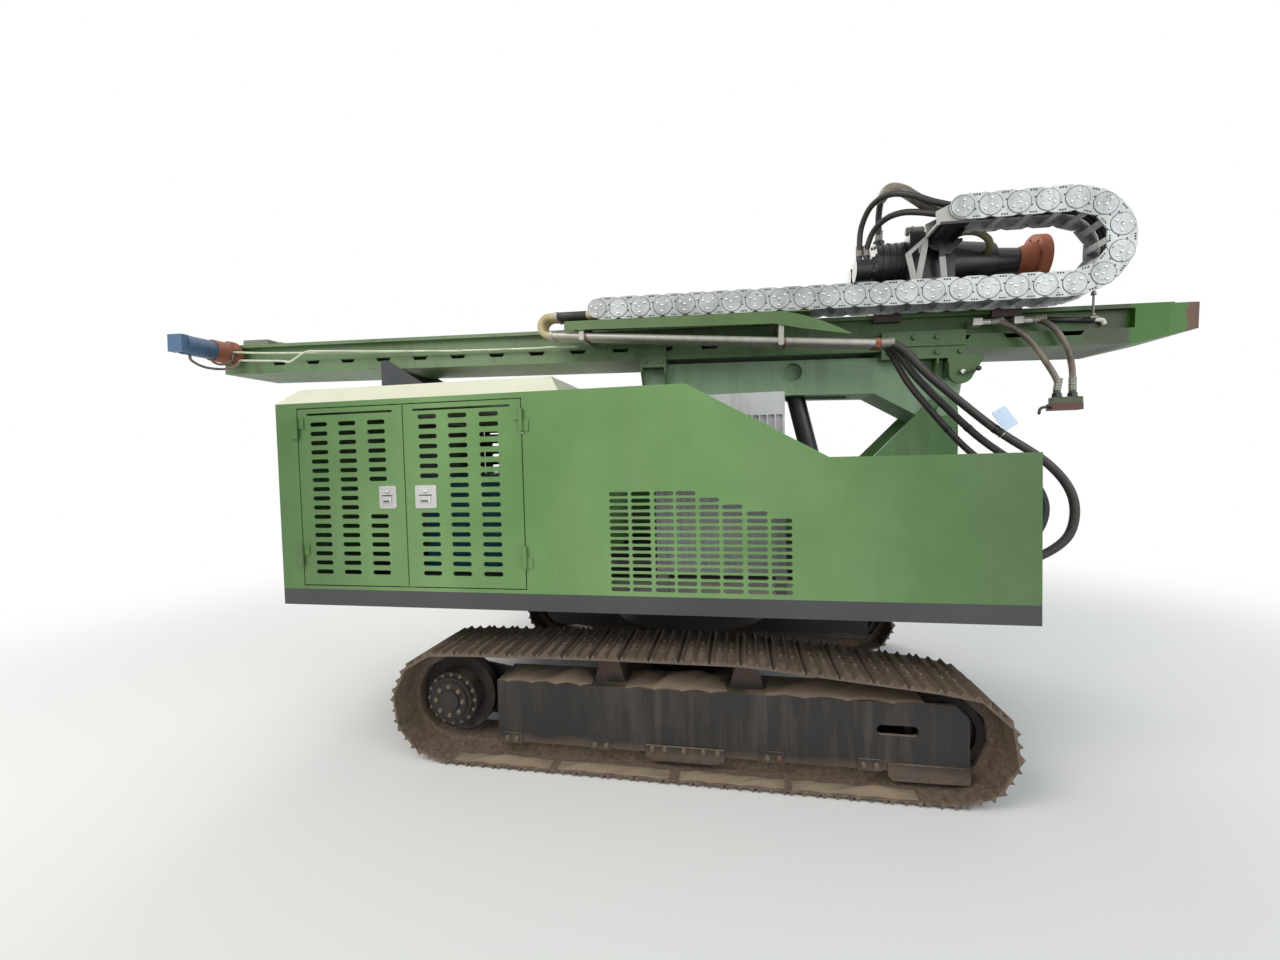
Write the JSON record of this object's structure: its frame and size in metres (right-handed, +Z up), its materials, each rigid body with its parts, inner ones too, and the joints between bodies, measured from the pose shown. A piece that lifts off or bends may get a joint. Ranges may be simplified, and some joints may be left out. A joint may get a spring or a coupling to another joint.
{
  "type": "rotary piling rig",
  "caption": "Compact tracked rotary piling rig: slewing body with hinged doors, tilting arm, sliding mast, feed head with drive flange and hose chain, laid down for transport",
  "frame": {"origin": "On the ground under the middle of the whole machine in its transport pose", "axes": "+X to the working end where the drive flange points, +Y to the machine's left, +Z up"},
  "size_m": [6.5275, 2.35, 3.2827],
  "materials": {
    "frame_dark": "dark grey paint with mud",
    "track_steel": "cast steel with dried mud",
    "green_light": "satin green paint, weathered",
    "green_dark": "darker green paint, worn",
    "cream": "pale cream paint, faded",
    "grey_blue": "blue-grey paint",
    "grey": "grey paint, worn",
    "engine_blue": "blue paint",
    "black": "black paint, oily",
    "rust": "rusted cast steel",
    "steel": "dull zinc-plated steel",
    "chrome": "bright rod",
    "aluminium": "dusty aluminium fins",
    "wrap": "beige hose wrap",
    "hose": "black rubber"
  },
  "bodies": {
    "undercarriage": {"car_body": "frame_dark", "track_frames": "frame_dark", "track_right": "track_steel", "track_left": "track_steel", "final_drives": "track_steel", "idlers": "track_steel", "rollers": "track_steel"},
    "superstructure": {"base_frame": "frame_dark", "engine_housing": "green_light", "roof": "cream", "side_panel_right": "green_light", "side_panel_left": "green_light", "power_unit": "engine_blue", "hydraulic_tank": "green_dark", "valve_block": "black", "oil_cooler": "aluminium", "mast_rest": "grey_blue", "pivot_bracket": "green_light", "boom_hose_a": "hose", "boom_hose_b": "hose", "boom_hose_c": "hose"},
    "right_rear_door": {"door_right_rear": "green_light"},
    "right_front_door": {"door_right_front": "green_light"},
    "left_rear_door": {"door_left_rear": "green_light"},
    "left_front_door": {"door_left_front": "green_light"},
    "arm": {"arm": "green_dark", "mast_clamps": "green_dark"},
    "lift_barrel": {"cylinder_barrel": "black"},
    "lift_rod": {"cylinder_rod": "chrome"},
    "mast": {"mast": "green_dark", "chain_tray": "green_light", "feed_motor": "engine_blue", "feed_gearbox": "rust", "chain_tensioner": "grey", "mast_pipes": "steel", "hose_elbows": "wrap", "chain_lower": "steel", "coupling_hose_a": "hose", "coupling_hose_b": "hose"},
    "head": {"head_sledge": "black", "head_gearbox": "black", "head_motors": "black", "chain_bracket": "black", "chain_end": "grey", "chain_upper": "steel", "head_hose_a": "hose", "head_hose_b": "hose", "head_hose_c": "hose"},
    "chain_bend": {"chain_bend": "steel"},
    "drive_flange": {"drive_flange": "rust"},
    "coupler": {"coupling_block": "rust"}
  },
  "joints": [
    {"name": "slew", "type": "hinge", "parent": "undercarriage", "child": "superstructure", "pos_m": [0.36, 0, 0.74], "axis": [0, 0, 1], "continuous": true},
    {"name": "right_rear_door_hinge", "type": "hinge", "parent": "superstructure", "child": "right_rear_door", "pos_m": [-1.778, -1.136, 1.47], "axis": [0, 0, -1], "range_deg": [0, 110]},
    {"name": "right_front_door_hinge", "type": "hinge", "parent": "superstructure", "child": "right_front_door", "pos_m": [-0.414, -1.136, 1.47], "axis": [0, 0, 1], "range_deg": [0, 110]},
    {"name": "left_rear_door_hinge", "type": "hinge", "parent": "superstructure", "child": "left_rear_door", "pos_m": [-1.778, 1.136, 1.47], "axis": [0, 0, 1], "range_deg": [0, 110]},
    {"name": "left_front_door_hinge", "type": "hinge", "parent": "superstructure", "child": "left_front_door", "pos_m": [-0.414, 1.136, 1.47], "axis": [0, 0, -1], "range_deg": [0, 110]},
    {"name": "arm_tilt", "type": "hinge", "parent": "superstructure", "child": "arm", "pos_m": [1.948, 0, 1.896], "axis": [0, 1, 0], "range_deg": [0, 88.5], "deforming": ["boom_hose_a", "boom_hose_b", "boom_hose_c"]},
    {"name": "cylinder_swing", "type": "hinge", "parent": "superstructure", "child": "lift_barrel", "pos_m": [1.32, 0, 1.1], "axis": [0, 1, 0], "range_deg": [0, 42]},
    {"name": "cylinder_stroke", "type": "slide", "parent": "lift_barrel", "child": "lift_rod", "axis": [-0.2268, 0, 0.9739], "range_m": [0, 0.83]},
    {"name": "mast_slide", "type": "slide", "parent": "arm", "child": "mast", "axis": [0.9997, 0, -0.0262], "range_m": [-0.3, 0.5]},
    {"name": "head_feed", "type": "slide", "parent": "mast", "child": "head", "axis": [0.9997, 0, -0.0262], "range_m": [-3.6, 0.5], "deforming": ["chain_lower", "chain_upper"]},
    {"name": "chain_roll", "type": "slide", "parent": "mast", "child": "chain_bend", "axis": [0.9997, 0, -0.0262], "range_m": [-1.81, 0.26]},
    {"name": "spindle", "type": "hinge", "parent": "head", "child": "drive_flange", "pos_m": [2.4727, 0, 2.83259], "axis": [0.9997, 0, -0.0262], "continuous": true},
    {"name": "coupler_swing", "type": "hinge", "parent": "mast", "child": "coupler", "pos_m": [2.25073, -0.29, 2.37824], "axis": [0, 1, 0], "range_deg": [-54, 0], "deforming": ["coupling_hose_a", "coupling_hose_b"]}
  ],
  "couplings": [
    {"joint": "cylinder_swing", "follows": "arm_tilt", "ratio": 0.4644},
    {"joint": "cylinder_stroke", "follows": "arm_tilt", "m_per_rad": 0.5335},
    {"joint": "chain_roll", "follows": "head_feed", "ratio": 0.5},
    {"joint": "coupler_swing", "follows": "arm_tilt", "ratio": -0.6}
  ]
}
